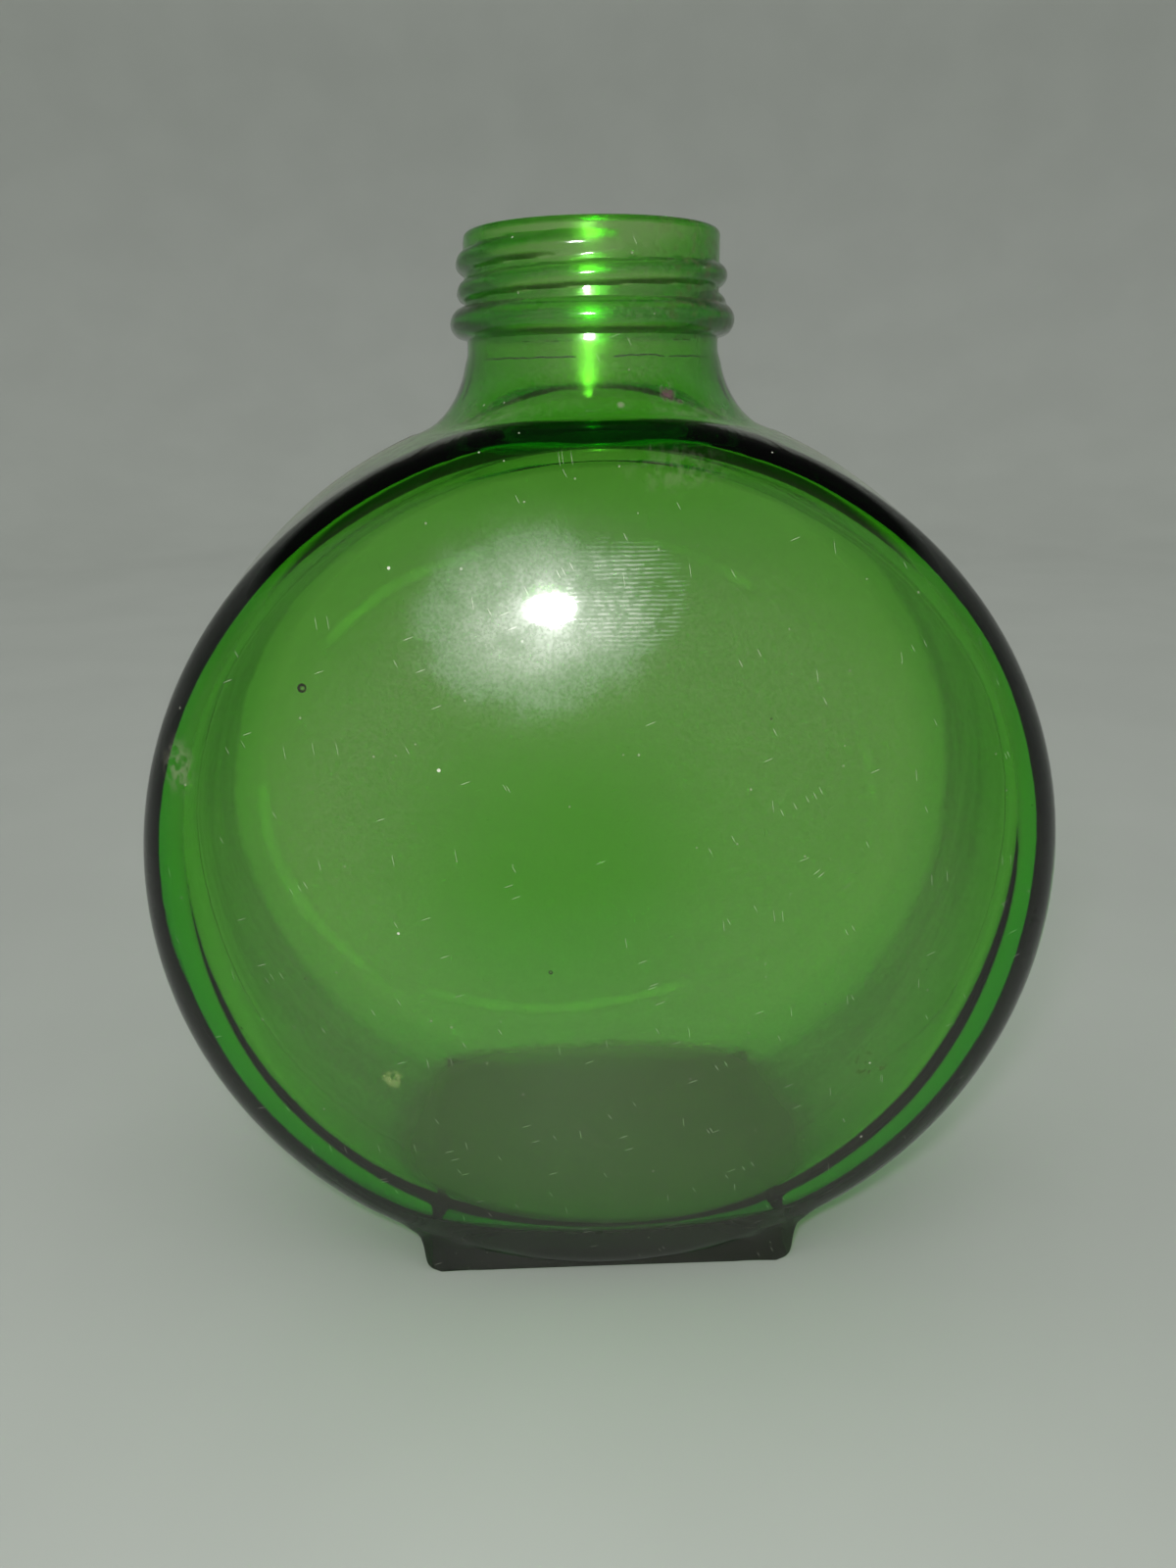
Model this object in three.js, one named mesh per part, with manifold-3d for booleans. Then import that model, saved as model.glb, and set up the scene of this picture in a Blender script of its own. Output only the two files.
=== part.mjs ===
// Round, flat-sided canteen bottle of blown green glass, with a screw-threaded mouth and a block foot.
// Millimetres, +Z up, front face towards -Y, origin in the middle of the foot's underside.
// The glass is shaped whole, as an outer form less a cavity, and then parted where the mould parted:
// neck ring, two body halves and bottom plate.
import * as THREE from 'three';
import { mergeVertices } from 'three/addons/utils/BufferGeometryUtils.js';
import Module from 'manifold-3d';

const wasm = await Module();
wasm.setup();

const degrees = THREE.MathUtils.degToRad;

// Body: a drum on edge, with domed faces and a side band that is fullest at the parting plane
const BAND_RADIUS = 67.5;
const BAND_DRAFT = degrees(6.7);
const BAND_CROWN_RADIUS = 30;
const BODY_DEPTH = 71.4;
const FACE_RADIUS = 195;
const RIM_ROUNDING = 8;

// Glass thickness and the blown inside, which is far rounder at the rim than the outside
const FACE_WALL = 2.7;
const BAND_WALL = 3.2;
const INNER_RIM_ROUNDING = 16;
const BASE_THICKNESS = 7.5;

// Foot: a block under the drum, with a rounded heel, a short upright side and hollow fillets up to the band
const FOOT_WIDTH = 58;
const FOOT_DEPTH = 50.2;
const FOOT_FILLET_RADIUS = 5;
const FOOT_FILLET_SET_IN = 2.2;
const FOOT_HEEL_ROUNDING = 2;
const FOOT_UPRIGHT = 1.9;
const FOOT_EDGE_ROUNDING = 1;
const BEARING_WIDTH = 5.5;
const PUSH_UP_DEPTH = 0.8;

// Neck: it flares out into the band, wider along the band than across it
const NECK_WALL = 2.6;
const FLARE_HEIGHT = 6.6;
const FLARE_ALONG_BAND = 6.5;
const FLARE_ACROSS_BAND = 4.5;
const NECK_PARTING_DROP = 1.9;

// Bore and the flare inside the shoulder
const BORE_RADIUS = 14.8;
const BORE_FLARE_ALONG_BAND = 8;
const BORE_FLARE_ACROSS_BAND = 3;

// Finish: from the neck's waist up, a transfer bead, a right-hand screw thread and the lip
const FINISH_WALL = 2.65;
const BEAD_RISE = 0.8;
const BEAD_THICKNESS = 4.2;
const BEAD_PROUD = 2.2;
const THREADED_HEIGHT = 9.3;
const LIP_ROUNDING = 0.8;
const THREAD_PROUD = 1.1;
const THREAD_RIDGE_RADIUS = 1.45;
const THREAD_PITCH = 3.63;
const THREAD_TURNS = 1.9;
const THREAD_START_DROP = 2.85;
const THREAD_START_ANGLE = degrees(-80);
const THREAD_RUN_OUT = degrees(45);

// Faceting
const DISC_SEGMENTS = 72;
const NECK_SEGMENTS = 48;
const ARC_STEPS = 5;
const CROWN_STEPS = 2;
const FOOT_EDGE_STEPS = 2;
const THREAD_STEPS_PER_TURN = 24;
const THREAD_SIDES = 8;
const MERGE_DISTANCE = 1e-4;

// Derived radii of the neck
const NECK_RADIUS = BORE_RADIUS + NECK_WALL;
const FINISH_ROOT_RADIUS = BORE_RADIUS + FINISH_WALL;
const THREAD_RADIUS = FINISH_ROOT_RADIUS + THREAD_PROUD;
const BEAD_RADIUS = FINISH_ROOT_RADIUS + BEAD_PROUD;

// Derived place of the rim and of the foot's fillets, seen from the front: the foot carries the drum
const INNER_BAND_RADIUS = BAND_RADIUS - BAND_WALL;
const RIM_CENTRE = rimCentre(BAND_RADIUS, BODY_DEPTH / 2, FACE_RADIUS, RIM_ROUNDING);
const FOOT_SEAT_RADIUS = RIM_CENTRE.x + RIM_ROUNDING * Math.cos(BAND_DRAFT) - FOOT_FILLET_SET_IN;
const FOOT_FILLET_X = FOOT_WIDTH / 2 + FOOT_FILLET_RADIUS;
const FOOT_FILLET_DROP = Math.sqrt((FOOT_SEAT_RADIUS + FOOT_FILLET_RADIUS) ** 2 - FOOT_FILLET_X ** 2);
const FOOT_FILLET_HEIGHT = FOOT_HEEL_ROUNDING + FOOT_UPRIGHT;

// Derived heights, and the room that cutting blocks need round the whole bottle
const DISC_CENTRE_HEIGHT = FOOT_FILLET_HEIGHT + FOOT_FILLET_DROP;
const CREST_HEIGHT = DISC_CENTRE_HEIGHT + BAND_RADIUS;
const WAIST_HEIGHT = CREST_HEIGHT + FLARE_HEIGHT;
const NECK_PARTING_HEIGHT = WAIST_HEIGHT - NECK_PARTING_DROP;
const FINISH_HEIGHT = BEAD_RISE + BEAD_THICKNESS + THREADED_HEIGHT;
const LIP_HEIGHT = WAIST_HEIGHT + FINISH_HEIGHT;
const REACH = LIP_HEIGHT + BAND_RADIUS;
const ROOT_DEPTH = 2 * BAND_WALL;

const glassGreen = {
  color: 0x3f8a1e,
  roughness: 0.06,
  metalness: 0,
  transparent: true,
  opacity: 0.72,
};

// Solids

// A closed geometry becomes a solid: shared vertices merged and flat triangles at the poles left out
function toSolid(geometry) {
  const bare = geometry.clone();
  bare.deleteAttribute('normal');
  bare.deleteAttribute('uv');
  const merged = mergeVertices(bare, MERGE_DISTANCE);
  const index = Array.from(merged.index.array);
  const triangles = [];
  for (let i = 0; i < index.length; i += 3) {
    const [a, b, c] = index.slice(i, i + 3);
    if (a !== b && b !== c && c !== a) triangles.push(a, b, c);
  }
  return new wasm.Manifold(new wasm.Mesh({
    numProp: 3,
    vertProperties: new Float32Array(merged.attributes.position.array),
    triVerts: new Uint32Array(triangles),
  }));
}

function toGeometry(solid) {
  const mesh = solid.getMesh();
  const geometry = new THREE.BufferGeometry();
  geometry.setAttribute('position', new THREE.BufferAttribute(mesh.vertProperties, 3));
  geometry.setIndex(new THREE.BufferAttribute(mesh.triVerts, 1));
  geometry.computeVertexNormals();
  return geometry;
}

function block(min, max) {
  const size = max.clone().sub(min);
  const middle = min.clone().add(max).multiplyScalar(0.5);
  return toSolid(new THREE.BoxGeometry(size.x, size.y, size.z).translate(middle.x, middle.y, middle.z));
}

function arc(centre, radius, from, to, steps = ARC_STEPS) {
  const points = [];
  for (let i = 0; i <= steps; i += 1) {
    const angle = THREE.MathUtils.lerp(from, to, i / steps);
    points.push(new THREE.Vector2(centre.x + radius * Math.cos(angle), centre.y + radius * Math.sin(angle)));
  }
  return points;
}

// Drum

// Where the rounding between band and face has its middle, on the back half: x is the distance from
// the disc's axis and y the distance from the parting plane
function rimCentre(band, halfDepth, face, rounding) {
  const slope = Math.tan(BAND_DRAFT);
  const tilt = Math.cos(BAND_DRAFT);
  const start = band + BAND_CROWN_RADIUS * (1 / tilt - 1) - rounding / tilt;
  const faceCentre = face - halfDepth;
  const a = 1 + slope * slope;
  const b = 2 * (faceCentre - slope * start);
  const c = faceCentre ** 2 + start ** 2 - (face - rounding) ** 2;
  const out = (Math.sqrt(b * b - 4 * a * c) - b) / (2 * a);
  return new THREE.Vector2(start - slope * out, out);
}

// Half section from the crown of the front face, over the band, to the crown of the back face
function drum(band, halfDepth, face, rounding) {
  const rim = rimCentre(band, halfDepth, face, rounding);
  const faceEdge = Math.acos(rim.x / (face - rounding));
  const faceArc = arc(new THREE.Vector2(0, halfDepth - face), face, faceEdge, Math.PI / 2);
  const rimArc = arc(rim, rounding, BAND_DRAFT, faceEdge);
  const crownCentre = new THREE.Vector2(band - BAND_CROWN_RADIUS, 0);
  const crown = arc(crownCentre, BAND_CROWN_RADIUS, 0, BAND_DRAFT, CROWN_STEPS);
  const back = [...crown, ...rimArc, ...faceArc.slice(1)];
  back[back.length - 1].x = 0;
  const front = back.slice(1).reverse().map((point) => new THREE.Vector2(point.x, -point.y));
  const lathe = new THREE.LatheGeometry([...front, ...back], DISC_SEGMENTS);
  return toSolid(lathe.translate(0, 0, DISC_CENTRE_HEIGHT));
}

// Height of a band's top at a place on it, with the band's draft
function bandTop(band, x, y) {
  const radius = band - Math.abs(y) * Math.tan(BAND_DRAFT);
  return DISC_CENTRE_HEIGHT + Math.sqrt(radius * radius - x * x);
}

// Neck

// A round neck on the axis whose foot flares out onto a band. It is turned with a flare of one unit each
// way, at levels that stand for its root in the wall, the band and the waist. The flare is then spread as
// wide as each place round the neck asks and dropped onto the band.
function neck(radius, alongBand, acrossBand, band, upperProfile) {
  const level = { root: -1, band: 0, waist: 1 };
  const unit = level.waist - level.band;
  const flare = arc(new THREE.Vector2(radius + unit, level.waist), unit, 1.5 * Math.PI, Math.PI);
  const lathe = new THREE.LatheGeometry([
    new THREE.Vector2(0, level.root),
    new THREE.Vector2(radius + unit, level.root),
    ...flare,
    ...upperProfile.map((point) => new THREE.Vector2(point.x, level.waist + point.y)),
  ], NECK_SEGMENTS).rotateX(Math.PI / 2);
  const place = lathe.attributes.position;
  for (let i = 0; i < place.count; i += 1) {
    const turned = new THREE.Vector2(place.getX(i), place.getY(i));
    const lift = place.getZ(i);
    if (lift < level.waist) {
      const angle = turned.angle();
      const width = Math.hypot(alongBand * Math.cos(angle), acrossBand * Math.sin(angle));
      if (turned.length() > radius) turned.setLength(radius + (turned.length() - radius) * width);
      const top = bandTop(band, turned.x, turned.y);
      const height = top + lift * (lift < level.band ? ROOT_DEPTH : WAIST_HEIGHT - top);
      place.setXYZ(i, turned.x, turned.y, height);
    } else {
      place.setZ(i, WAIST_HEIGHT + lift - level.waist);
    }
  }
  return toSolid(lathe);
}

function outerNeck() {
  const beadTop = BEAD_RISE + BEAD_THICKNESS;
  const bead = new THREE.Vector2(BEAD_RADIUS - BEAD_THICKNESS / 2, BEAD_RISE + BEAD_THICKNESS / 2);
  const edge = new THREE.Vector2(FINISH_ROOT_RADIUS - LIP_ROUNDING, FINISH_HEIGHT - LIP_ROUNDING);
  return neck(NECK_RADIUS, FLARE_ALONG_BAND, FLARE_ACROSS_BAND, BAND_RADIUS, [
    new THREE.Vector2(NECK_RADIUS, BEAD_RISE),
    ...arc(bead, BEAD_THICKNESS / 2, -Math.PI / 2, Math.PI / 2, 2 * ARC_STEPS),
    new THREE.Vector2(FINISH_ROOT_RADIUS, beadTop),
    ...arc(edge, LIP_ROUNDING, 0, Math.PI / 2),
    new THREE.Vector2(0, FINISH_HEIGHT),
  ]);
}

function boreForm() {
  const edge = new THREE.Vector2(BORE_RADIUS + LIP_ROUNDING, FINISH_HEIGHT - LIP_ROUNDING);
  return neck(BORE_RADIUS, BORE_FLARE_ALONG_BAND, BORE_FLARE_ACROSS_BAND, INNER_BAND_RADIUS, [
    ...arc(edge, LIP_ROUNDING, Math.PI, Math.PI / 2),
    new THREE.Vector2(edge.x, FINISH_HEIGHT + LIP_ROUNDING),
    new THREE.Vector2(0, FINISH_HEIGHT + LIP_ROUNDING),
  ]);
}

// Thread: a rounded ridge on a right-hand helix that starts under the lip, goes down to the bead and
// runs out into the wall at both ends
class ThreadPath extends THREE.Curve {
  getPoint(t, target = new THREE.Vector3()) {
    const travel = t * THREAD_TURNS * 2 * Math.PI;
    const fromEnd = Math.min(travel, THREAD_TURNS * 2 * Math.PI - travel);
    const sunk = 1 - THREE.MathUtils.smoothstep(fromEnd, 0, THREAD_RUN_OUT);
    const radius = THREAD_RADIUS - THREAD_RIDGE_RADIUS - sunk * THREAD_PROUD;
    const angle = THREAD_START_ANGLE - travel;
    const drop = THREAD_START_DROP + (travel / (2 * Math.PI)) * THREAD_PITCH;
    return target.set(radius * Math.cos(angle), radius * Math.sin(angle), LIP_HEIGHT - drop);
  }
}

function thread() {
  const ridge = new THREE.Shape().absarc(0, 0, THREAD_RIDGE_RADIUS, 0, 2 * Math.PI, false);
  return toSolid(new THREE.ExtrudeGeometry(ridge, {
    steps: Math.round(THREAD_TURNS * THREAD_STEPS_PER_TURN),
    curveSegments: THREAD_SIDES,
    extrudePath: new ThreadPath(),
  }));
}

// Foot

// Front outline of one side, from the underside up the hollow fillet to where it meets the rim and on into
// the wall, and mirrored for the other side
function footOutline() {
  const heel = new THREE.Vector2(FOOT_WIDTH / 2 - FOOT_HEEL_ROUNDING, FOOT_HEEL_ROUNDING);
  const fillet = new THREE.Vector2(FOOT_FILLET_X, FOOT_FILLET_HEIGHT);
  const meet = Math.atan2(FOOT_FILLET_DROP, -FOOT_FILLET_X);
  const root = new THREE.Vector2(FOOT_FILLET_X, -FOOT_FILLET_DROP).setLength(FOOT_SEAT_RADIUS - ROOT_DEPTH);
  const right = [
    ...arc(heel, FOOT_HEEL_ROUNDING, -Math.PI / 2, 0),
    ...arc(fillet, FOOT_FILLET_RADIUS, Math.PI, meet),
    new THREE.Vector2(root.x, DISC_CENTRE_HEIGHT + root.y),
  ];
  const left = right.slice().reverse().map((point) => new THREE.Vector2(-point.x, point.y));
  return new THREE.Shape([...right, ...left]);
}

function foot() {
  const solidFoot = new THREE.ExtrudeGeometry(footOutline(), {
    depth: FOOT_DEPTH - 2 * FOOT_EDGE_ROUNDING,
    bevelThickness: FOOT_EDGE_ROUNDING,
    bevelSize: FOOT_EDGE_ROUNDING,
    bevelOffset: -FOOT_EDGE_ROUNDING,
    bevelSegments: FOOT_EDGE_STEPS,
  });
  solidFoot.translate(0, 0, FOOT_EDGE_ROUNDING - FOOT_DEPTH / 2);
  return toSolid(solidFoot.rotateX(Math.PI / 2));
}

// Whole bottle

function below(height) {
  return block(new THREE.Vector3(-REACH, -REACH, -REACH), new THREE.Vector3(REACH, REACH, height));
}

// What lies inside the bearing ring, up to a height
function insideBearing(height) {
  const x = FOOT_WIDTH / 2 - BEARING_WIDTH;
  const y = FOOT_DEPTH / 2 - BEARING_WIDTH;
  return block(new THREE.Vector3(-x, -y, -REACH), new THREE.Vector3(x, y, height));
}

const outerForm = drum(BAND_RADIUS, BODY_DEPTH / 2, FACE_RADIUS, RIM_ROUNDING)
  .add(foot())
  .add(outerNeck())
  .add(thread())
  .subtract(below(0));
const cavity = drum(INNER_BAND_RADIUS, BODY_DEPTH / 2 - FACE_WALL, FACE_RADIUS - FACE_WALL, INNER_RIM_ROUNDING)
  .subtract(below(BASE_THICKNESS))
  .add(boreForm());
const glass = outerForm.subtract(cavity);

// Parting lines

const bottomPlate = insideBearing(BASE_THICKNESS);
const body = glass.intersect(below(NECK_PARTING_HEIGHT)).subtract(bottomPlate);
const frontHalf = block(new THREE.Vector3(-REACH, -REACH, -REACH), new THREE.Vector3(REACH, 0, REACH));

const bottle = new THREE.Group();

function addSubPart(name, solid) {
  const mesh = new THREE.Mesh(toGeometry(solid), new THREE.MeshStandardMaterial(glassGreen));
  mesh.name = name;
  bottle.add(mesh);
}

addSubPart('neck_finish', glass.subtract(below(NECK_PARTING_HEIGHT)));
addSubPart('body_front', body.intersect(frontHalf));
addSubPart('body_back', body.subtract(frontHalf));
addSubPart('foot_base', glass.intersect(bottomPlate).subtract(insideBearing(PUSH_UP_DEPTH)));

export default bottle;
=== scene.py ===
import math

import bmesh
import bpy
from mathutils import Matrix, Vector, noise


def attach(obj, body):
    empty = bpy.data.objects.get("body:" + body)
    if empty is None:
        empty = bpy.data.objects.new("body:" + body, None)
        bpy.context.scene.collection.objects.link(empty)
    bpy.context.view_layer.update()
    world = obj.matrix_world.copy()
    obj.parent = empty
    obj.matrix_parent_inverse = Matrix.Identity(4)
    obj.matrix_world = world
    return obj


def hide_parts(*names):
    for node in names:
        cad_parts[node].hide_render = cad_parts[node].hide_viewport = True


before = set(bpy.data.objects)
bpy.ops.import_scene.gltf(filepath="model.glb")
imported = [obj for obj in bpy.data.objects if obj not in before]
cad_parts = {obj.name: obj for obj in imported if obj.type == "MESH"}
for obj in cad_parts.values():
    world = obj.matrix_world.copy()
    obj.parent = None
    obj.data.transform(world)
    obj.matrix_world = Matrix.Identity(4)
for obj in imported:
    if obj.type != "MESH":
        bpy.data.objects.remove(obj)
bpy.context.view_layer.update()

MM = 0.001
TAU = 2 * math.pi

# Body, outside and inside
DISC_HEIGHT = 63.03
BAND_RADIUS = 67.5
BAND_DRAFT = math.radians(6.7)
CROWN_RADIUS = 30
HALF_DEPTH = 35.7
FACE_RADIUS = 195
RIM_ROUNDING = 8
FACE_WALL = 2.7
BAND_WALL = 3.2
INNER_RIM_ROUNDING = 16
INNER_BACK_ROUNDING = 9
SHOULDER_WALL = 3.5
SHOULDER_INNER_ROUNDING = 5.5
FLOOR_HEIGHT = 7.5
FLOOR_SOFTNESS = 4

# Foot
FOOT_WIDTH = 58
FOOT_HALF_DEPTH = 25.1
FOOT_FILLET = 5
FOOT_HEEL = 2
FOOT_UPRIGHT = 1.9
FOOT_EDGE = 1.0
CORNER_REACH = 7
CORNER_TOP = 12
CORNER_EASE = 0.5
CORNER_ROUNDS = 8
PUSH_UP = 0.8
PUSH_UP_SLOPE = 7
BEARING = 5.5

# Neck and finish
WAIST_HEIGHT = 137.13
LIP_HEIGHT = 151.43
NECK_RADIUS = 17.4
FLARE_ALONG = 6.5
FLARE_ACROSS = 4.5
PARTING_HEIGHT = 135.23
PARTING_STEP = 0.22
PARTING_EDGE = (-0.1, 0.15)
SEAM_RISE = 0.12
SEAM_HALF_WIDTH = 0.45
BORE_RADIUS = 14.8
BORE_FLARE_ALONG = 8
BORE_FLARE_FRONT = 4
BORE_FLARE_BACK = 7.1
INNER_MARGIN = 0.5
ROOT_RADIUS = 17.45
LIP_ROUNDING = 0.8
BEAD_RADIUS = 19.65
BEAD_THICKNESS = 4.2
BEAD_HEIGHT = 140.03
THREAD_PROUD = 1.1
THREAD_RIDGE = 1.45
THREAD_PITCH = 3.63
THREAD_TURNS = 1.9
THREAD_START_DROP = 2.85
THREAD_START = math.radians(-80)
THREAD_RUN_OUT = math.radians(45)
GLASS_SOFTNESS = 0.7

# Unevenness of the blown glass
RIPPLE = 0.10
RIPPLE_LENGTH = 15
STREAK = 0.32
STREAK_WIDTH = 5
STREAK_TURNS = 1.3
STREAK_ZONE = (62, 84)
SHOULDER_CALM = 0.8
SHOULDER_SPAN = (math.radians(55), math.radians(110))
FACE_DEPTHS = (8, 24)
BAND_REACH = (40, 60)

# Bubbles in the front wall: x, z, depth below the outside and radius
BUBBLES = (
    (-38.6, 95.5, 1.4, 0.62),
    (-7.9, 57.5, 1.2, 0.3),
    (21, 91, 1.5, 0.14),
    (-52, 46, 1.3, 0.16),
    (30, 50, 1.6, 0.12),
)

# Mesh fineness
DISC_COLUMNS = 288
COLUMN = TAU / DISC_COLUMNS
BAND_RINGS = 9
FOOT_COLUMNS = 24
HOLE_COLUMNS = 18
NECK_COLUMNS = 144
RIM_ANGLES = (10, 14, 18, 22, 26, 30, 34, 38, 42, 46, 50, 57, 61, 65, 69)
OUTER_HOLE_ANGLE = math.radians(30)
INNER_FRONT_HOLE_ANGLE = math.radians(10)
INNER_BACK_HOLE_ANGLE = math.radians(38)
FACE_RINGS = 16
FACE_RING_POWER = 1.15
FLARE_ROWS = 12
BORE_ROWS = 9
FINISH_ROW = 0.22
TANGENT_STEP = 0.05
QUARTER_TURN = [k * math.pi / 12 for k in range(7)]
FLAT_STEPS = 9
FILLET_STEPS = 8
FOOT_EDGE_CUTS = 3
BRIDGE_CUTS = 2
BUBBLE_CUTS = 3
SMOOTH_ANGLE = math.radians(32)

# Margins of the picks
SPARE_COLUMN = 0.1
HAIR = 0.05
EDGE_HAIR = 0.02
EDGE_ABOVE = 2
EDGE_CLEAR = 0.4
WELD = 0.01


# Forms of the bottle, as plain functions of place

def soft_max(a, b, softness):
    """The larger of two values, melted together where they are near each other."""
    near = max(softness - abs(a - b), 0) / softness
    return max(a, b) + near * near * softness / 4


def smooth_step(low, high, value):
    """Smooth step from 0 at low to 1 at high."""
    t = min(max((value - low) / (high - low), 0), 1)
    return t * t * (3 - 2 * t)


class Drum:
    """A drum on edge with domed faces: the radius of its rings at each distance from the parting plane."""

    def __init__(self, band, half_depth, face, rounding, seam=0):
        self.band, self.half_depth, self.face = band, half_depth, face
        self.rounding, self.seam = rounding, seam
        slope, tilt = math.tan(BAND_DRAFT), math.cos(BAND_DRAFT)
        start = band + CROWN_RADIUS * (1 / tilt - 1) - rounding / tilt
        middle = face - half_depth
        a = 1 + slope * slope
        b = 2 * (middle - slope * start)
        c = middle ** 2 + start ** 2 - (face - rounding) ** 2
        self.rim_out = (math.sqrt(b * b - 4 * a * c) - b) / (2 * a)
        self.rim_radius = start - slope * self.rim_out
        self.face_angle = math.acos(self.rim_radius / (face - rounding))
        self.band_end = self.rim_out + rounding * math.sin(BAND_DRAFT)

    def radius(self, y):
        y = abs(y)
        if y < CROWN_RADIUS * math.sin(BAND_DRAFT):
            return self.band - CROWN_RADIUS + math.sqrt(CROWN_RADIUS ** 2 - y * y)
        if y < self.band_end:
            end = self.rim_radius + self.rounding * math.cos(BAND_DRAFT)
            return end + (self.band_end - y) * math.tan(BAND_DRAFT)
        return self.rim_radius + math.sqrt(max(self.rounding ** 2 - (y - self.rim_out) ** 2, 0))

    def top(self, x, y):
        return DISC_HEIGHT + math.sqrt(self.radius(y) ** 2 - x * x)

    def face_out(self, radius):
        return math.sqrt(self.face ** 2 - radius ** 2) - self.face + self.half_depth

    def rim_point(self, angle):
        radius = self.rim_radius + self.rounding * math.cos(angle)
        return radius, self.rim_out + self.rounding * math.sin(angle)

    def profile(self, rim_angles):
        """Radius and distance of each ring, from the front's crown over the band to the back's crown."""
        back = [(self.radius(0) + self.seam, 0), (self.radius(SEAM_HALF_WIDTH), SEAM_HALF_WIDTH)]
        for k in range(1, BAND_RINGS + 1):
            y = self.band_end * k / BAND_RINGS
            back.append((self.radius(y), y))
        back += [self.rim_point(angle) for angle in sorted(rim_angles)]
        edge = self.rim_point(self.face_angle)
        for k in range(FACE_RINGS + 1):
            radius = edge[0] * (1 - (k / FACE_RINGS) ** FACE_RING_POWER)
            back.append((radius, self.face_out(radius)))
        front = [(radius, -y) for radius, y in reversed(back[1:])]
        return front + back


OUTSIDE = Drum(BAND_RADIUS, HALF_DEPTH, FACE_RADIUS, RIM_ROUNDING, SEAM_RISE)
INNER_DOME = (HALF_DEPTH - FACE_WALL, FACE_RADIUS - FACE_WALL)
INSIDE = Drum(BAND_RADIUS - BAND_WALL, *INNER_DOME, INNER_RIM_ROUNDING)
INSIDE_BACK = Drum(BAND_RADIUS - BAND_WALL, *INNER_DOME, INNER_BACK_ROUNDING)
SHOULDER = Drum(BAND_RADIUS - SHOULDER_WALL, *INNER_DOME, SHOULDER_INNER_ROUNDING)
FOOT_RIM_ANGLE = math.asin((FOOT_HALF_DEPTH - OUTSIDE.rim_out) / RIM_ROUNDING)


def foot_outline():
    """Right half of the foot seen from the front, from its middle to the top of its hollow fillet."""
    half = FOOT_WIDTH / 2
    flat = half - FOOT_HEEL
    points = [(flat * k / FLAT_STEPS, 0) for k in range(FLAT_STEPS)]
    for angle in QUARTER_TURN:
        points.append((flat + FOOT_HEEL * math.sin(angle), FOOT_HEEL - FOOT_HEEL * math.cos(angle)))
    middle = (half + FOOT_FILLET, FOOT_HEEL + FOOT_UPRIGHT)
    meet = math.atan2(DISC_HEIGHT - middle[1], -middle[0])
    for k in range(FILLET_STEPS + 1):
        angle = math.pi + (meet - math.pi) * k / FILLET_STEPS
        points.append((middle[0] + FOOT_FILLET * math.cos(angle), middle[1] + FOOT_FILLET * math.sin(angle)))
    return points


def finish_radius(angle, height):
    """Outside of the neck above its waist: wall, bead and right-hand thread, melted into each other."""
    radius = NECK_RADIUS + (ROOT_RADIUS - NECK_RADIUS) * smooth_step(WAIST_HEIGHT, BEAD_HEIGHT, height)
    half = BEAD_THICKNESS / 2
    from_bead = height - BEAD_HEIGHT
    if abs(from_bead) < half:
        bead = BEAD_RADIUS - half + math.sqrt(half * half - from_bead * from_bead)
        radius = soft_max(radius, bead, GLASS_SOFTNESS)
    start = (THREAD_START - angle) % TAU
    for turn in (0, 1):
        travel = start + turn * TAU
        left = THREAD_TURNS * TAU - travel
        if left < 0:
            continue
        off = height - (LIP_HEIGHT - THREAD_START_DROP - travel / TAU * THREAD_PITCH)
        if abs(off) < THREAD_RIDGE:
            sunk = 1 - smooth_step(0, THREAD_RUN_OUT, min(travel, left))
            middle = ROOT_RADIUS + THREAD_PROUD * (1 - sunk) - THREAD_RIDGE
            ridge = middle + math.sqrt(THREAD_RIDGE ** 2 - off * off)
            radius = soft_max(radius, ridge, GLASS_SOFTNESS)
    return radius


def neck_seam(angle, radius):
    """How far the line between the two mould halves stands out of the neck's sides."""
    return SEAM_RISE * max(0, 1 - abs(math.sin(angle)) * radius / SEAM_HALF_WIDTH)


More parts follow.
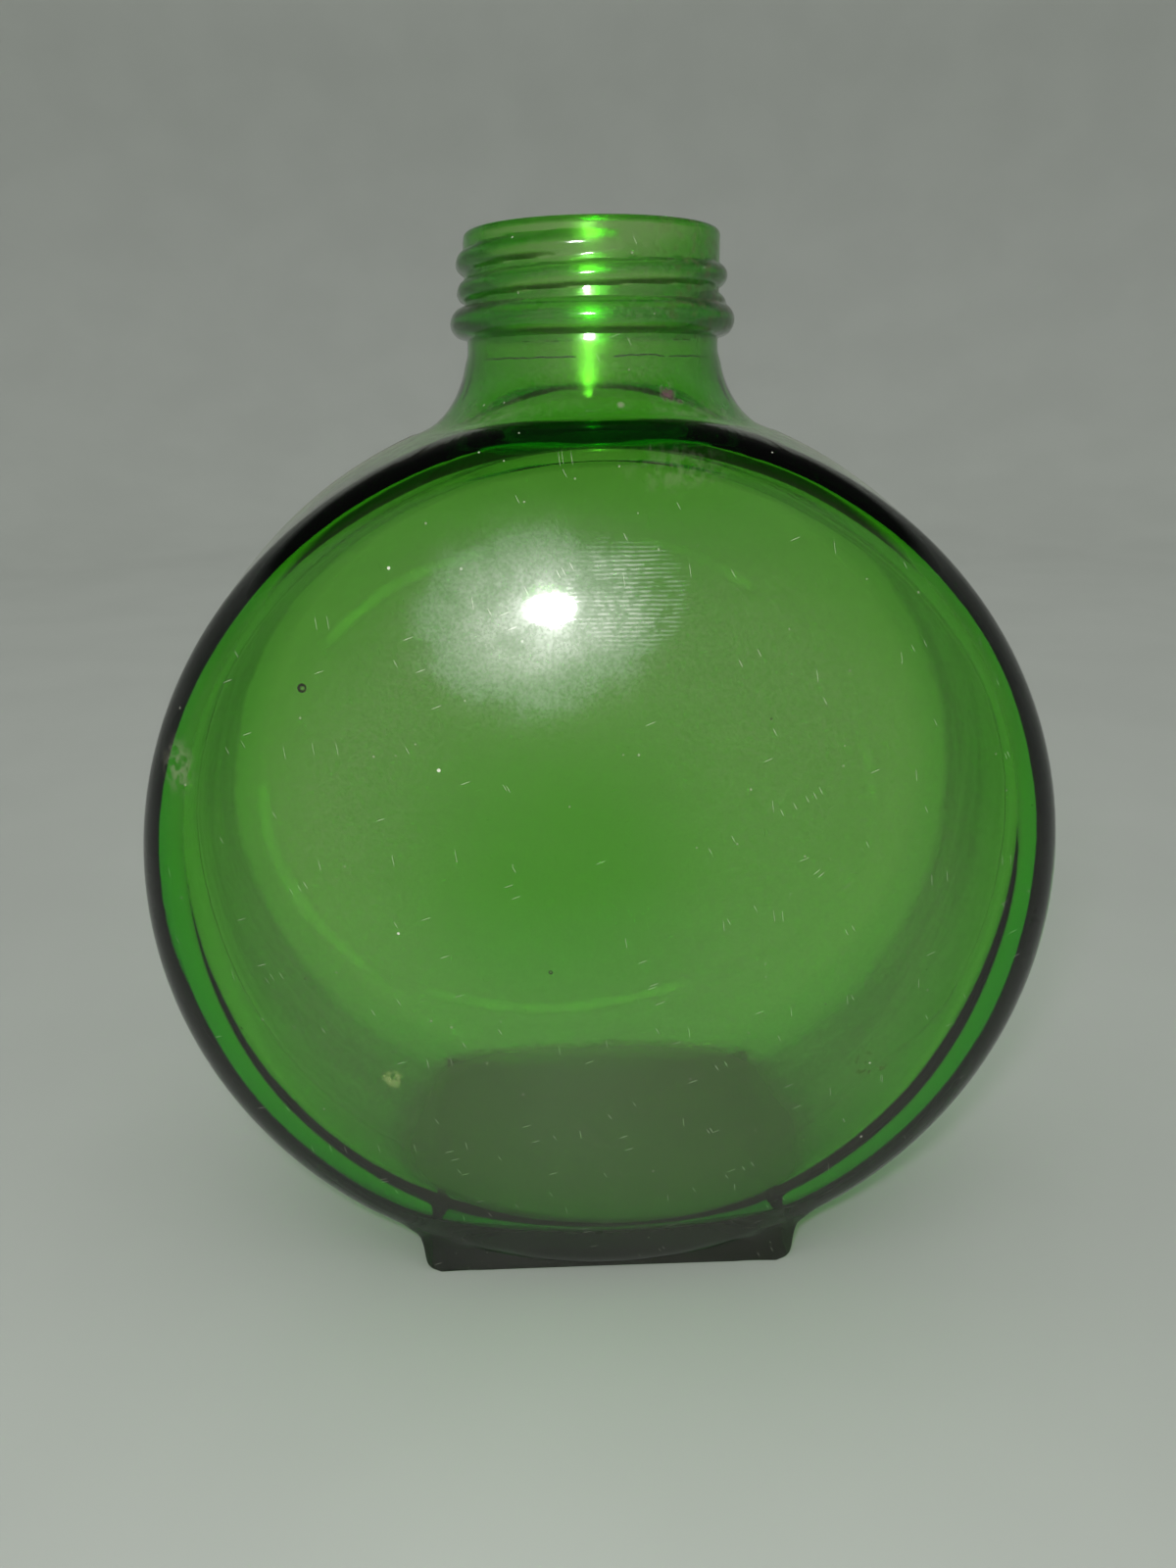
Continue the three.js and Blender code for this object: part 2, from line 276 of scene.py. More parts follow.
def neck_rows():
    """The neck's rows from the outer shoulder over the lip down to the inner shoulder. Each is a function of
    the angle that gives radius and height."""

    def flare(t):
        def row(angle):
            u, v = 1 - math.sin(t * math.pi / 2), 1 - math.cos(t * math.pi / 2)
            width = math.hypot(FLARE_ALONG * math.cos(angle), FLARE_ACROSS * math.sin(angle))
            spread = NECK_RADIUS + u * width
            top = OUTSIDE.top(spread * math.cos(angle), spread * math.sin(angle))
            height = top + v * (WAIST_HEIGHT - top)
            below = 1 - smooth_step(*PARTING_EDGE, height - PARTING_HEIGHT)
            spread += PARTING_STEP * below * (1 - u)
            return spread + neck_seam(angle, spread), height
        return row

    def bore_flare(t):
        def row(angle):
            across = BORE_FLARE_BACK if angle > 0 else BORE_FLARE_FRONT
            width = math.hypot(BORE_FLARE_ALONG * math.cos(angle), across * math.sin(angle))
            ends = [BORE_RADIUS + width, BORE_RADIUS + width - TANGENT_STEP]
            low, next_in = (SHOULDER.top(r * math.cos(angle), r * math.sin(angle)) for r in ends)
            bend = low + (next_in - low) / TANGENT_STEP * width
            height = (1 - t) ** 2 * low + 2 * t * (1 - t) * bend + t * t * WAIST_HEIGHT
            return BORE_RADIUS + (1 - t) ** 2 * width, height
        return row

    def ring(radius, height):
        return lambda angle: (radius, height)

    def finish(height):
        def row(angle):
            radius = finish_radius(angle, height)
            return radius + neck_seam(angle, radius), height
        return row

    rows = [flare(k / FLARE_ROWS) for k in range(FLARE_ROWS)]
    last = LIP_HEIGHT - LIP_ROUNDING
    count = round((last - WAIST_HEIGHT) / FINISH_ROW)
    rows += [finish(WAIST_HEIGHT + (last - WAIST_HEIGHT) * k / count) for k in range(count)]
    for angle in QUARTER_TURN:
        radius = ROOT_RADIUS - LIP_ROUNDING * (1 - math.cos(angle))
        rows.append(ring(radius, last + LIP_ROUNDING * math.sin(angle)))
    for angle in QUARTER_TURN:
        radius = BORE_RADIUS + LIP_ROUNDING * (1 - math.sin(angle))
        rows.append(ring(radius, last + LIP_ROUNDING * math.cos(angle)))
    rows += [ring(BORE_RADIUS, last + (WAIST_HEIGHT - last) * k / BORE_ROWS) for k in range(1, BORE_ROWS)]
    rows += [bore_flare(1 - k / FLARE_ROWS) for k in range(FLARE_ROWS + 1)]
    return rows


# Modelling by hand

def edit(piece):
    """Edit mode on one piece alone."""
    bpy.ops.object.select_all(action="DESELECT")
    piece.select_set(True)
    bpy.context.view_layer.objects.active = piece
    bpy.ops.object.mode_set(mode="EDIT")


def leave():
    """Back to object mode."""
    bpy.ops.object.mode_set(mode="OBJECT")


def pick(piece, kind, test):
    """In edit mode, selects only the vertices, edges or faces whose corners, in millimetres, pass a test."""
    bpy.ops.mesh.select_mode(type=kind)
    bpy.ops.mesh.select_all(action="DESELECT")
    shape = bmesh.from_edit_mesh(piece.data)
    for part in {"VERT": shape.verts, "EDGE": shape.edges, "FACE": shape.faces}[kind]:
        corners = [part] if kind == "VERT" else part.verts
        part.select_set(bool(test([corner.co / MM for corner in corners])))
    bmesh.update_edit_mesh(piece.data)


def move_picked(piece, place):
    """In edit mode, puts each selected vertex where a function of its place, in millimetres, says."""
    shape = bmesh.from_edit_mesh(piece.data)
    for vertex in shape.verts:
        if vertex.select:
            vertex.co = Vector(place(vertex.co / MM)) * MM
    bmesh.update_edit_mesh(piece.data)


def drawn(name, points):
    """A line of edges drawn from one vertex, point by point, left in edit mode with all of it selected."""
    bpy.ops.object.select_all(action="DESELECT")
    bpy.ops.mesh.primitive_plane_add(size=MM)
    piece = bpy.context.object
    piece.name = piece.data.name = name
    edit(piece)
    bpy.ops.mesh.select_mode(type="VERT")
    bpy.ops.mesh.select_all(action="SELECT")
    bpy.ops.mesh.merge(type="CENTER")
    bpy.ops.transform.translate(value=Vector(points[0]) * MM)
    for before, after in zip(points, points[1:]):
        step = (Vector(after) - Vector(before)) * MM
        bpy.ops.mesh.extrude_region_move(TRANSFORM_OT_translate={"value": step})
    bpy.ops.mesh.select_all(action="SELECT")
    return piece


def spin(columns, centre, axis):
    """Spins what is selected once round and closes the seam and the poles."""
    bpy.ops.mesh.spin(steps=columns, angle=TAU, center=Vector(centre) * MM, axis=axis)
    bpy.ops.mesh.select_all(action="SELECT")
    bpy.ops.mesh.remove_doubles(threshold=WELD * MM)


def turned_drum(name, profile):
    """A profile spun round the disc's axis, left in edit mode."""
    piece = drawn(name, [(0, y, DISC_HEIGHT + radius) for radius, y in profile])
    spin(DISC_COLUMNS, (0, 0, DISC_HEIGHT), (0, 1, 0))
    return piece


def from_top(point):
    """Angle round the disc from straight up."""
    return math.atan2(point.x, point.z - DISC_HEIGHT)


def from_bottom(point):
    """Angle round the disc from straight down."""
    return math.atan2(point.x, DISC_HEIGHT - point.z)


def open_for_neck(piece, front, back):
    """Takes the faces out of the band's top where the neck stands, between a front and a back ring."""
    reach = (HOLE_COLUMNS + SPARE_COLUMN) * COLUMN

    def over_hole(corners):
        return all(abs(from_top(p)) < reach and -front[1] - HAIR < p.y < back[1] + HAIR and p.z > DISC_HEIGHT
                   for p in corners)

    pick(piece, "FACE", over_hole)
    bpy.ops.mesh.delete(type="FACE")


def add_foot(piece):
    """Pulls the foot out of the band's underside and shapes its front outline."""
    reach = (FOOT_COLUMNS + SPARE_COLUMN) * COLUMN

    def over_foot(corners):
        return all(abs(from_bottom(p)) < reach and abs(p.y) < FOOT_HALF_DEPTH + HAIR and p.z < DISC_HEIGHT
                   for p in corners)

    outline = foot_outline()

    def onto_outline(point):
        column = round(from_bottom(point) / COLUMN)
        x, z = outline[abs(column)]
        reached = math.hypot(x, DISC_HEIGHT - z)
        stretch = max(1, OUTSIDE.radius(point.y) / reached)
        side = 1 if column > 0 else -1
        return side * x * stretch, point.y, max(DISC_HEIGHT - (DISC_HEIGHT - z) * stretch, 0)

    pick(piece, "FACE", over_foot)
    bpy.ops.mesh.extrude_region_move()
    move_picked(piece, onto_outline)
    bpy.ops.mesh.select_all(action="SELECT")
    bpy.ops.mesh.remove_doubles(threshold=WELD * MM)

    clear = OUTSIDE.radius(FOOT_HALF_DEPTH) + EDGE_CLEAR

    def outer_edge(corners):
        return all(abs(abs(p.y) - FOOT_HALF_DEPTH) < EDGE_HAIR and p.z < FOOT_HEEL + FOOT_UPRIGHT + EDGE_ABOVE
                   and math.hypot(p.x, p.z - DISC_HEIGHT) > clear for p in corners)

    pick(piece, "EDGE", outer_edge)
    bpy.ops.mesh.bevel(offset=FOOT_EDGE * MM, segments=FOOT_EDGE_CUTS, affect="EDGES", clamp_overlap=True)

    def pushed_up(point):
        along = smooth_step(0, PUSH_UP_SLOPE, FOOT_WIDTH / 2 - BEARING - abs(point.x))
        across = smooth_step(0, PUSH_UP_SLOPE, FOOT_HALF_DEPTH - BEARING - abs(point.y))
        return point.x, point.y, point.z + PUSH_UP * along * across

    pick(piece, "VERT", lambda corners: corners[0].z < HAIR)
    move_picked(piece, pushed_up)

    def at_corner(corners):
        away = Vector((abs(corners[0].x) - FOOT_WIDTH / 2, abs(corners[0].y) - FOOT_HALF_DEPTH))
        return away.length < CORNER_REACH and HAIR < corners[0].z < CORNER_TOP

    pick(piece, "VERT", at_corner)
    bpy.ops.mesh.vertices_smooth(factor=CORNER_EASE, repeat=CORNER_ROUNDS)


def turned_neck(name):
    """A tube with a row for each height of the neck, shaped row by row."""
    rows = neck_rows()
    piece = drawn(name, [(BAND_RADIUS, 0, k) for k in range(len(rows))])
    spin(NECK_COLUMNS, (0, 0, 0), (0, 0, 1))

    def shaped(point):
        angle = math.atan2(point.y, point.x)
        radius, height = rows[round(point.z)](angle)
        return radius * math.cos(angle), radius * math.sin(angle), height

    bpy.ops.mesh.select_all(action="SELECT")
    move_picked(piece, shaped)
    return piece


def bridge(piece, drum):
    """Closes the shoulder between the open band and the neck's end ring, with the new rows on the band."""
    shape = bmesh.from_edit_mesh(piece.data)
    known = len(shape.verts)
    bpy.ops.mesh.select_mode(type="EDGE")
    bpy.ops.mesh.select_all(action="DESELECT")
    for edge in shape.edges:
        middle = (edge.verts[0].co + edge.verts[1].co) / 2 / MM
        reach = math.hypot(middle.x, middle.z - DISC_HEIGHT)
        outer = reach > (OUTSIDE.radius(middle.y) + INSIDE.radius(middle.y)) / 2
        edge.select_set(edge.is_boundary and outer == (drum is OUTSIDE))
    bmesh.update_edit_mesh(piece.data)
    bpy.ops.mesh.bridge_edge_loops(number_cuts=BRIDGE_CUTS, interpolation="LINEAR")
    shape = bmesh.from_edit_mesh(piece.data)
    shape.verts.ensure_lookup_table()
    for vertex in shape.verts[known:]:
        point = vertex.co / MM
        vertex.co.z = drum.top(point.x, point.y) * MM
    bmesh.update_edit_mesh(piece.data)


def blown(profile, shoulder):
    """Places the inside as the blowing air left it: tighter and heavier glass at the shoulder than lower
    down, faint ripples on the faces, and streaks that follow the rim."""
    rings = list(zip(*([Vector(ring) for ring in kind] for kind in (profile, shoulder))))

    def place(point):
        out = Vector((point.x, 0, point.z - DISC_HEIGHT))
        reach, outward = out.length, out.normalized()
        here = Vector((reach, point.y))
        low, high = min(rings, key=lambda ring: (ring[0] - here).length_squared)
        tighter = 1 - smooth_step(*SHOULDER_SPAN, abs(from_top(point)))
        radius, y = low.lerp(high, tighter)
        moved = Vector((0, y, DISC_HEIGHT)) + outward * radius

        around = outward * STREAK_TURNS
        streak = noise.noise(Vector((around.x, around.z, (reach - abs(point.y)) / STREAK_WIDTH)))
        near_rim = smooth_step(*STREAK_ZONE, reach + abs(point.y))
        ripple = noise.noise(point / RIPPLE_LENGTH)
        from_face = Vector((0, -math.copysign(smooth_step(*FACE_DEPTHS, abs(point.y)), point.y), 0))
        inward = from_face - outward * smooth_step(*BAND_REACH, reach)
        calmed = STREAK * near_rim * (1 - SHOULDER_CALM * tighter)
        moved += inward.normalized() * (RIPPLE * ripple + calmed * streak)
        return moved.x, moved.y, soft_max(moved.z, FLOOR_HEIGHT, FLOOR_SOFTNESS)

    return place


def add_bubble(x, z, depth, radius):
    """In edit mode, a small void in the front wall, at a depth below its outside."""
    y = -OUTSIDE.face_out(math.hypot(x, z - DISC_HEIGHT)) + depth
    middle = Vector((x, y, z)) * MM
    bpy.ops.mesh.select_all(action="DESELECT")
    bpy.ops.mesh.primitive_ico_sphere_add(subdivisions=BUBBLE_CUTS, radius=radius * MM, location=middle)
    bpy.ops.mesh.flip_normals()


def mark_wall(piece, test):
    """Notes on each vertex whether it lies on the inside of the bottle."""
    mark = piece.data.attributes.new("inside", "FLOAT", "POINT")
    mark.data.foreach_set("value", [float(test(vertex.co / MM)) for vertex in piece.data.vertices])


def make_bottle():
    """The whole bottle as one closed skin: outside and foot, inside, neck, and the bubbles' voids."""
    rim_angles = [math.radians(angle) for angle in RIM_ANGLES]
    outside = turned_drum("bottle", OUTSIDE.profile(rim_angles + [FOOT_RIM_ANGLE]))
    hole_edge = OUTSIDE.rim_point(OUTER_HOLE_ANGLE)
    open_for_neck(outside, hole_edge, hole_edge)
    add_foot(outside)
    leave()

    front, back, shoulder = (drum.profile(rim_angles) for drum in (INSIDE, INSIDE_BACK, SHOULDER))
    profile = front[:len(front) // 2] + back[len(front) // 2:]
    inside = turned_drum("inside", profile)
    front_edge = INSIDE.rim_point(INNER_FRONT_HOLE_ANGLE)
    back_edge = INSIDE_BACK.rim_point(INNER_BACK_HOLE_ANGLE)
    open_for_neck(inside, front_edge, back_edge)
    bpy.ops.mesh.select_all(action="SELECT")
    move_picked(inside, blown(profile, shoulder))
    leave()

    neck = turned_neck("neck")
    leave()
    mark_wall(outside, lambda point: False)
    mark_wall(inside, lambda point: True)
    mark_wall(neck, lambda point: math.hypot(point.x, point.y) < BORE_RADIUS + LIP_ROUNDING
              or point.z < SHOULDER.top(point.x, point.y) + INNER_MARGIN)

    bpy.ops.object.select_all(action="DESELECT")
    for piece in (inside, neck, outside):
        piece.select_set(True)
    bpy.context.view_layer.objects.active = outside
    bpy.ops.object.join()
    edit(outside)
    bridge(outside, OUTSIDE)
    bridge(outside, SHOULDER)
    bpy.ops.mesh.select_all(action="SELECT")
    bpy.ops.mesh.normals_make_consistent(inside=False)
    for bubble in BUBBLES:
        add_bubble(*bubble)
    leave()
    bpy.ops.object.shade_smooth_by_angle(angle=SMOOTH_ANGLE)
    return outside


bottle = make_bottle()
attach(bottle, "root")
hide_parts("neck_finish", "body_front", "body_back", "foot_base")


# Shader maths

class Wire:
    """A node's output in a shader. Arithmetic on wires adds Math nodes, and node() adds any other node."""

    def __init__(self, tree, output=None):
        self.tree, self.output = tree, output

    def node(self, kind, settings=None, sockets=None, output=0):
        made = self.tree.nodes.new("ShaderNode" + kind)
        for name, value in (settings or {}).items():
            setattr(made, name, value)
        for name, value in (sockets or {}).items():
            if isinstance(value, Wire):
                self.tree.links.new(value.output, made.inputs[name])
            else:
                made.inputs[name].default_value = value
        return Wire(self.tree, made.outputs[output] if made.outputs else None)

    def beside(self, name):
        """Another output of the same node."""
        return Wire(self.tree, self.output.node.outputs[name])

    def math(self, operation, *values):
        return self.node("Math", {"operation": operation}, dict(enumerate(values)))

    def __add__(self, other):
        return self.math("ADD", self, other)

    def __sub__(self, other):
        return self.math("SUBTRACT", self, other)

    def __rsub__(self, other):
        return self.math("SUBTRACT", other, self)

    def __mul__(self, other):
        return self.math("MULTIPLY", self, other)

    def __gt__(self, other):
        return self.math("GREATER_THAN", self, other)

    def __abs__(self):
        return self.math("ABSOLUTE", self)

    __radd__ = __add__
    __rmul__ = __mul__


def material(name):
    """An empty node material, and a wire to add nodes with."""
    made = bpy.data.materials.new(name)
    made.use_nodes = True
    made.node_tree.nodes.clear()
    return made, Wire(made.node_tree)


def ramp(value, low, high):
    """Smooth step of a wire from 0 at low to 1 at high."""
    span = {"Value": value, "From Min": low, "From Max": high}
    return value.node("MapRange", {"interpolation_type": "SMOOTHSTEP"}, span)


def grain(place, size, detail):
    """Cloudy noise with features of a size in millimetres."""
    return place.node("TexNoise", {}, {"Vector": place, "Scale": 1 / size, "Detail": detail})


def share_of(place, centre, radii):
    """Distance from a centre as a share of an oval's radii."""
    off = place.node("VectorMath", {"operation": "SUBTRACT"}, {0: place, 1: centre})
    share = place.node("VectorMath", {"operation": "DIVIDE"}, {0: off, 1: radii})
    return place.node("VectorMath", {"operation": "LENGTH"}, {0: share}, "Value")


def patch(place, centre, radii, edge):
    """An oval patch with a soft edge: 1 inside, 0 outside."""
    return ramp(share_of(place, centre, radii), 1, 1 - edge)


def amount(parts, *masks):
    """An even part, and a further part for each mask where the mask lies."""
    total = parts[0]
    for part, mask in zip(parts[1:], masks):
        total = total + part * mask
    return total


CRUMB_SIZES = (0.4, 0.6)


def crumbs(place, spacing, size, share):
    """Specks of up to a size, one in some of the cells that are a spacing apart."""
    cell = place.node("TexVoronoi", {}, {"Vector": place, "Scale": 1 / spacing})
    lot = place.node("SeparateColor", {}, {"Color": cell.beside("Color")})
    reach = size / spacing * amount(CRUMB_SIZES, lot.beside("Green"))
    return (reach > cell) * (lot > 1 - share)


STROKE_REACH = 0.065
STROKE_CORE = 0.7


def strokes(x, z, turn, length, width, share):
    """Short straight hair scratches on the faces, all turned one way."""
    along = x * math.cos(turn) + z * math.sin(turn)
    across = z * math.cos(turn) - x * math.sin(turn)
    reach = 2 * STROKE_REACH
    flat = x.node("CombineXYZ", {}, {"X": along * (reach / length), "Y": across * (reach / width)})
    cell = x.node("TexVoronoi", {"voronoi_dimensions": "2D"}, {"Vector": flat, "Scale": 1})
    lot = x.node("SeparateColor", {}, {"Color": cell.beside("Color")})
    return ramp(cell, STROKE_REACH, STROKE_CORE * STROKE_REACH) * (lot > 1 - share)


def blend(mask, under, over):
    """A colour laid over another by a mask."""
    return mask.node("Mix", {"data_type": "RGBA"}, {0: mask, 6: under, 7: over}, 2)


# Green glass, with what lies on it

GLASS_TINT = (0.45, 0.893, 0.024, 1)
TINT_DENSITY = 540
GLASS_IOR = 1.52
LAMP_SHADE = (0.62, 0.76, 0.54, 1)
DUST = (0.24, 0.25, 0.17, 1)
# Painted shade: colour of the dark sheet on the band's back half
PAINTED_BAND_SHADE = (0.09, 0.105, 0.06, 1)
FACE_FILM = (0.30, 0.28, 0.20, 1)
SKIN_GREASE = (0.52, 0.56, 0.47, 1)
# Painted light: colour of the bright line inside the back
PAINTED_RING_LIGHT = (0.60, 0.70, 0.40, 1)
PALE_SPECK = (0.62, 0.64, 0.52, 1)
DRIED_DIRT = (0.11, 0.085, 0.05, 1)
RED_FLECK = (0.085, 0.042, 0.045, 1)
GROOVE_DIRT = (0.02, 0.024, 0.014, 1)
YELLOW_SPOT = (0.42, 0.50, 0.20, 1)
# Partly painted shade: the inside's deposit is dark enough to stand in for the shade under the base
RESIDUE_AND_BASE_SHADE = (0.115, 0.105, 0.10, 1)

# Grains: size in millimetres and detail
CLOUDS = (42, 1)
MOTTLE = (5, 3)
FINE = (1.1, 2)
SANDY = (0.45, 2)
WASHED = (4, 2)
WASHED_STRETCH = (0.12, 1, 0.12)
UNEVEN = (18, 2)
MOULD_SKIN = (4, 2)
MOULD_SKIN_DEPTH = 0.02

# Levels of a grain between which a mark fades in
SOFT = (0.3, 0.7)
EVEN = (0.35, 0.65)

# Which way the surface faces, from none of a mark to all of it
FACING_UP = (0.2, 0.9)
FACING_OUT = (0.8, 0.95)
FACING_ROUND = (0.6, 0.15)

# Ovals have a centre, radii and a share of soft edge. Those with any depth go through the whole bottle.
ANY_DEPTH = 10000

# Dust on the finish and the shoulder, and lint as spacing, size and share of places taken
FINISH_HEIGHTS = (128, 134)
LIP_HEIGHTS = (151, 145)
FINISH_DUST = (0.02, 0.05)
FINISH_SWEPT = 0.8
DUST_HEIGHTS = (70, 110)
DUST_DEPTHS = (23, 15)
DUST_AMOUNTS = (0.08, 0.1, 0.16)
DUST_MOTTLE = (0.35, 0.7)
DUST_GRAIN = (0.4, 0.7)
FINE_LINT = (2.4, 0.19, 0.4)
FINE_LINT_LIES = (0.4, 0.6)
COARSE_LINT = (6.5, 0.26, 0.4)
LINT_COVER = 0.7

# Painted shade: a dark sheet on the band's back half, which darkens what is seen of it through the faces
BAND_SHADE_DEPTHS = (-14, 14)
BAND_SHADE_HEIGHTS = (131, 120)
BAND_SHADE_AMOUNTS = (0.32, 0.08, 0.14)
BAND_SHADE_SHOWS = (0.02, 0.2)

# Film on the faces, thin where they were wiped
WIPED = ((-7, 0, 74), (30, ANY_DEPTH, 30), 0.85)
OPEN_FACE = ((0, 0, DISC_HEIGHT), (58, ANY_DEPTH, 58), 0.3)
FILM_AMOUNTS = (0.01, 0.03, 0.1)
FILM_CLOUDS = (0.3, 0.75)
FILM_GRAIN = (0.75, 0.5)

# Grease where the bottle was held, and a finger mark. Its wave at this scale has ridges 0.53 mm apart.
GRIP = ((-9, -30, 104), (25, 30, 20), 1)
GRIP_MOTTLE = (0.36, 0.6)
GRIP_MOTTLED = (0.6, 0.4)
GRIP_GRAINED = (0.75, 0.25)
HELD_COVER = 0.42
FINGER = ((2.5, -29.3, 107), (9, 20, 8), 0.6)
FINGER_MIDDLE = (-1.5, 0, -104)
RIDGES = {"Scale": 1 / 1.69, "Distortion": 2.4, "Detail": 2, "Detail Scale": 0.5}
RIDGE_LEVELS = (0.4, 0.75)
FINGER_MOTTLE = (0.3, 0.5)
FINGER_GRAIN = (0.3, 0.6)
FINGER_COVER = 0.26
GREASE_SHOWS = (0.02, 0.2)
GREASY_FROM = (0.01, 0.06)

# Rubbed spots at the left rim and under the neck
RUB_LEFT = ((-56.5, -26, 85), (3.2, 6, 5), 0.8)
RUB_LEFT_GRAIN = (0.4, 0.6)
RUB_TOP = ((9, -26, 121.5), (9, 8, 4), 0.9)
RUB_TOP_GRAIN = (0.4, 0.65)
RUB_TOP_SHARE = 0.35
RUB_COVER = 0.3

# Hair scratches: turn in radians, length, width and share of places taken
FACE_SCRATCHES = ((0.35, 1.6, 0.08, 0.04), (-1.1, 1.3, 0.07, 0.04), (1.7, 2, 0.06, 0.03))
SCRATCHED = ((28.7, -33.5, 69), (4, 6, 2.5), 0.3)
SCRATCHED_WITH = (0.7, 1.3, 0.1, 0.8)
SCRATCH_COVER = 0.4

# Single spots
YELLOW = ((-30.5, -31.9, 39.9), (2, 4, 2), 0.9)
YELLOW_GRAIN = (0.35, 0.6)
YELLOW_COVER = 0.4
YELLOW_SHOWS = (0.02, 0.2)
RED_LARGE = ((8.7, -15.5, 130.3), (1.5, 3, 1.9), 0.5)
RED_SMALL = ((10.4, -14.5, 129.3), (1.1, 3, 0.9), 0.5)
RED_GRAIN = (0.36, 0.56)
RED_COVER = 0.9
RED_SHOWS = (0.1, 0.4)
PALE_DOT = ((2.7, -18, 129.2), (0.8, 4, 0.6), 0.6)
PALE_DOT_GRAIN = (0.3, 0.5)
PALE_DOT_COVER = 0.56

# Dirt at the right of the bead and thread, and a patch low on the front
BEAD_DIRT_HEIGHTS = (136, 138)
BEAD_DIRT_SIDE = (2, 17)
BEAD_DIRT_GRAIN = (0.5, 0.68)
BEAD_DIRT_COVER = 0.35
LOW_DIRT = ((37.7, -30.5, 39.2), (4, 6, 3), 0.7)
LOW_DIRT_GRAIN = (0.55, 0.68)
LOW_DIRT_COVER = 0.5
DIRT_SHOWS = (0.02, 0.12)

# Dirt in the mould lines round the neck, which wander up and down a little
WANDER = 0.9
PARTING_DIRT_HEIGHT = PARTING_HEIGHT - 0.6
PARTING_DIRT_WIDTH = (0.14, 0.04)
PARTING_BREAKS = (0.42, 0.5)
WAIST_DIRT_HEIGHT = WAIST_HEIGHT - 0.5
WAIST_DIRT_WIDTH = (0.1, 0.04)
WAIST_BREAKS = (0.45, 0.6)
WAIST_SHARE = 0.6
GROOVE_SIDE = (17, 12)
GROOVE_COVER = 0.8
GROOVE_SHOWS = (0.05, 0.3)

# Deposit on the base inside, partly painted shade: dark and thick so that it also stands in for the shade
# under the base. And a painted bright wavy line inside the back, which stands in for the light seen at a ring
# in the back wall
RESIDUE_AND_BASE_SHADE_HEIGHTS = (10.4, 8.6)
RESIDUE_AND_BASE_SHADE_AMOUNTS = (0.72, 0.06)
RING_LIGHT_OVAL = ((-4, 0, 61.5), (54.5, ANY_DEPTH, 45.5))
RING_LIGHT_WAVE = 0.16
RING_LIGHT_AT = 1.08
RING_LIGHT_WIDTH = (0.04, 0.002)
RING_LIGHT_DEPTHS = (10, 25)
RING_LIGHT_BREAKS = (0.38, 0.6)
RING_LIGHT_AMOUNTS = (0.35, 0.65)
RING_LIGHT_COVER = 0.28

# Roughness of the glass and of what lies on it
GLASS_ROUGHNESS = 0.012
FINISH_ROUGHNESS = (0.1, 0.16)
HELD_ROUGHNESS = 0.06
FINGER_ROUGHNESS = 0.05
RUB_ROUGHNESS = 0.1
DUSTY_ROUGHNESS = 0.85
GREASE_GLOSS = 0.53


